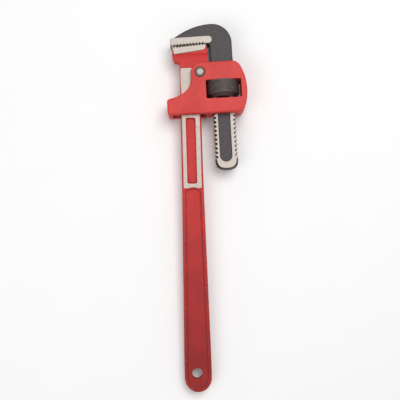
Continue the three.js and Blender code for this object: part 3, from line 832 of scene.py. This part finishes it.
def hook_steel():
    """Forging scale all over, ground off on the tooth pad, the shank's faces and the thread's crests."""
    look = Look("forging_scale_and_ground_faces")
    mottle = look.noise(2.4, 5, 0.65)
    colour = look.mix(look.step(mottle, 0.32, 0.7), SCALE_DARK, SCALE_LIGHT)
    colour = look.mix(look.step(look.noise(0.9, 4, 0.7), 0.66, 0.8, 0, 0.4), colour, rgb(0.24, 0.21, 0.2))
    # painted shade: the scale's rounded edges are darkened
    colour = look.mix(look.times(look.step(look.edge, 0.12, 0.45), 0.5), colour, rgb(0.028, 0.025, 0.03))
    depth = look.math("ABSOLUTE", look.z)
    out = look.math("SUBTRACT", look.x, SHANK_X)
    r = look.math("SQRT", look.math("ADD", look.times(out, out), look.times(look.z, look.z)))
    ragged = look.step(look.noise(1.3, 4), 0.3, 0.7, -0.06, 0.06)
    threaded = look.step(look.y, THREAD_TOP + 0.6, THREAD_TOP - 0.4)
    face = look.step(look.math("ADD", depth, ragged), SHANK_HALF_DEPTH - 0.22, SHANK_HALF_DEPTH - 0.1)
    across = look.math("POWER", look.times(look.math("ABSOLUTE", out), 1 / THREAD_R), SHANK_TIP["square"])
    past_end = look.math("SUBTRACT", SHANK_END_Y, look.y)
    beyond = look.math("MAXIMUM", look.times(past_end, 1 / SHANK_TIP["long"]), 0.0)
    reach = look.math("ADD", across, look.math("POWER", beyond, SHANK_TIP["square"]))
    at_tip = look.step(look.y, SHANK_END_Y + 1.0, SHANK_END_Y - 1.0)
    face = look.times(face, look.step(look.times(reach, at_tip), TIP_BARE, TIP_BARE - 0.1))
    crest = look.step(look.math("ADD", r, ragged), THREAD_R - 0.45, THREAD_R - 0.2)
    crest = look.times(crest, look.step(look.y, THREAD_BOTTOM - 0.6, THREAD_BOTTOM + 0.4), 0.85)
    # painted shade: the thread's grooves, between root and crest, are painted near black
    under_crest = look.step(r, THREAD_R - 0.25, THREAD_R - 0.7)
    groove = look.times(threaded, under_crest, look.step(r, GROOVE_INNER_R, GROOVE_INNER_R + 0.5))
    colour = look.mix(groove, colour, GROOVE_SHADE_BLACK)
    shank_bare = look.times(threaded, look.math("MAXIMUM", face, crest))
    pad = look.step(look.math("ADD", depth, ragged), STEM_HALF_DEPTH + 0.5, STEM_HALF_DEPTH + 0.9)
    tooth_run = HOOK_TEETH["end"][0] - HOOK_TEETH["start"][0]
    tooth_rise = (HOOK_TEETH["end"][1] - HOOK_TEETH["start"][1]) / tooth_run
    along_teeth = look.math("SUBTRACT", look.x, HOOK_TEETH["start"][0])
    tooth_y = look.math("SUBTRACT", look.y, look.times(along_teeth, tooth_rise))
    teeth = look.step(tooth_y, HOOK_TEETH["start"][1] + 2.2, HOOK_TEETH["start"][1] + 1.7)
    teeth = look.times(teeth, look.step(look.x, 9.5, 8.5), look.step(look.y, 27, 28))
    bare = look.math("MAXIMUM", shank_bare, look.math("MAXIMUM", pad, teeth))
    steel, steel_rough, lines = ground_steel(look, (0.6, 0.16, 1.0))
    # painted shade: the bare steel is darkened in its hollows
    steel = look.mix(look.times(look.step(look.edge, -0.15, -0.6), 0.8), steel, STEEL_STAIN_AND_SHADE)
    colour = look.mix(bare, colour, steel)
    rough = look.blend(bare, look.step(mottle, 0.3, 0.7, 0.5, 0.68), steel_rough)
    forged = look.bump(look.times(look.noise(1.7, 4, 0.6), look.step(bare, 0, 1, 1, 0)), 0.14)
    normal = look.bump(look.times(lines, bare), 0.02, forged)
    return look.finish(colour, rough, normal, look.step(bare, 0, 1, 0.3, 0.35))


def nut_steel():
    look = Look("browned_nut_steel")
    mottle = look.noise(1.8, 5, 0.65)
    colour = look.mix(look.step(mottle, 0.3, 0.72), NUT_DARK, NUT_LIGHT)
    rubbed = look.times(look.step(look.edge, 0.12, 0.5), look.step(look.noise(2.5, 3), 0.35, 0.65))
    colour = look.mix(look.times(rubbed, 0.55), colour, rgb(0.30, 0.25, 0.22))
    # painted shade: the knurl's grooves and the nut's other hollows are darkened
    colour = look.mix(look.times(look.step(look.edge, -0.1, -0.5), 0.8), colour, rgb(0.02, 0.017, 0.017))
    turned_lines = look.noise(0.5, 3, 0.6, (0.12, 1, 0.12))
    normal = look.bump(look.noise(0.8, 4), 0.05, look.bump(turned_lines, 0.05))
    rough = look.step(mottle, 0.3, 0.7, 0.42, 0.6)
    return look.finish(colour, rough, normal, look.step(mottle, 0, 1, 0.55, 0.65))


def small_steel(name, light, dark, metallic):
    """For the inner pieces that come over from the CAD as they are."""
    look = Look(name, carried_over=True, Metallic=metallic)
    mottle, lines = look.noise(1.6, 5, 0.6), look.noise(0.35, 3, 0.6, (1, 0.1, 1))
    colour = look.mix(look.step(mottle, 0.3, 0.7), dark, light)
    colour = look.mix(look.step(lines, 0.6, 0.8, 0, 0.4), colour, light)
    normal = look.bump(lines, 0.02, look.bump(mottle, 0.03))
    return look.finish(colour, look.step(mottle, 0.3, 0.7, 0.3, 0.5), normal)


# ---------------------------------------------------------------- the wrench

make_handle(handle_paint())
make_heel_jaw(jaw_steel())
make_frame(frame_paint())
make_pin(pin_steel())
make_nut(nut_steel())
make_hook(hook_steel())

def softened(piece, material):
    piece.data.materials.clear()
    piece.data.materials.append(material)
    soften = piece.modifiers.new("soften", "BEVEL")
    soften.width = SMALL_EDGE * MM
    soften.segments = 2
    soften.limit_method = "ANGLE"
    return piece


def make_front_spring(material):
    """The front leaf against the loop's wall, copied from the CAD, its edges softened, and carried with the
    frame.
    """
    packed = frame["nodes"]["front_spring"]
    leaf = bpy.data.objects.new("front_spring_leaf", packed.data.copy())
    bpy.context.scene.collection.objects.link(leaf)
    leaf.matrix_world = packed.matrix_world.copy()
    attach(applied(softened(leaf, material)), "frame")
    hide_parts("front_spring")
    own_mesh(leaf)
    return leaf


blued = small_steel("blued_spring_steel", rgb(0.16, 0.17, 0.22), rgb(0.06, 0.06, 0.085), 0.8)
bright = small_steel("bright_rivet_steel", rgb(0.62, 0.58, 0.54), rgb(0.40, 0.37, 0.34), 0.85)
make_front_spring(blued)
for name, material in (("back_spring", blued), ("front_spring_rivet", bright), ("back_spring_rivet", bright),
                       ("heel_jaw_pin", bright)):
    softened(frame["nodes"][name], material)


# ---------------------------------------------------------------- camera, floor and light

LENS = 59.25
CAMERA_AT = (3.24, -184.5, 700)
CAMERA_AIM = (0.04, -135.45, 0)


def facing(obj, at, aim, up):
    """Puts an object at a place, with its -Z towards the aim and its +Y as near up as can be."""
    back = (at - aim).normalized()
    right = up.cross(back).normalized()
    turn = Matrix((right, back.cross(right), back)).transposed()
    obj.matrix_world = Matrix.Translation(at) @ turn.to_4x4()
    return obj


def add_camera():
    data = bpy.data.cameras.new("camera")
    data.lens = LENS
    data.sensor_width = 36
    data.clip_start = 0.01
    camera = bpy.data.objects.new("camera", data)
    bpy.context.scene.collection.objects.link(camera)
    upright = (VIEW_PLACE.to_3x3() @ Vector((0, 1, 0))).normalized()
    facing(camera, VIEW_PLACE @ Vector(CAMERA_AT), VIEW_PLACE @ Vector(CAMERA_AIM), upright)
    bpy.context.scene.camera = camera
    return camera


def add_softbox(name, at, aim, size, watts):
    data = bpy.data.lights.new(name, "AREA")
    data.shape = "RECTANGLE"
    data.size, data.size_y = size
    data.energy = watts
    light = bpy.data.objects.new(name, data)
    bpy.context.scene.collection.objects.link(light)
    facing(light, Vector(at), Vector(aim), Vector((0, 1, 0.01)))


def add_floor():
    half = 6.0
    corners = [(-half, -half, 0), (half, -half, 0), (half, half, 0), (-half, half, 0)]
    obj = made("floor", corners, [(0, 1, 2, 3)])
    look = Look("pale_floor", carried_over=True, Roughness=0.9)
    colour = look.mix(look.noise(60, 4), rgb(0.945, 0.945, 0.942), rgb(0.965, 0.965, 0.965))
    look.finish(colour, None, look.bump(look.noise(1.5, 3), 0.02))
    obj.data.materials.append(look.material)


def add_surroundings():
    world = bpy.data.worlds.new("studio")
    world.use_nodes = True
    background = world.node_tree.nodes["Background"]
    background.inputs["Color"].default_value = rgb(1.0, 1.0, 1.0)
    background.inputs["Strength"].default_value = 0.42
    bpy.context.scene.world = world
    bpy.context.scene.view_settings.view_transform = "Standard"


add_camera()
add_floor()
add_surroundings()
add_softbox("key", (0.25, 0.45, 1.3), (0, 0.05, 0), (0.9, 0.9), 11)
add_softbox("fill", (-0.7, -0.5, 1.1), (0, 0, 0), (0.8, 0.8), 4)
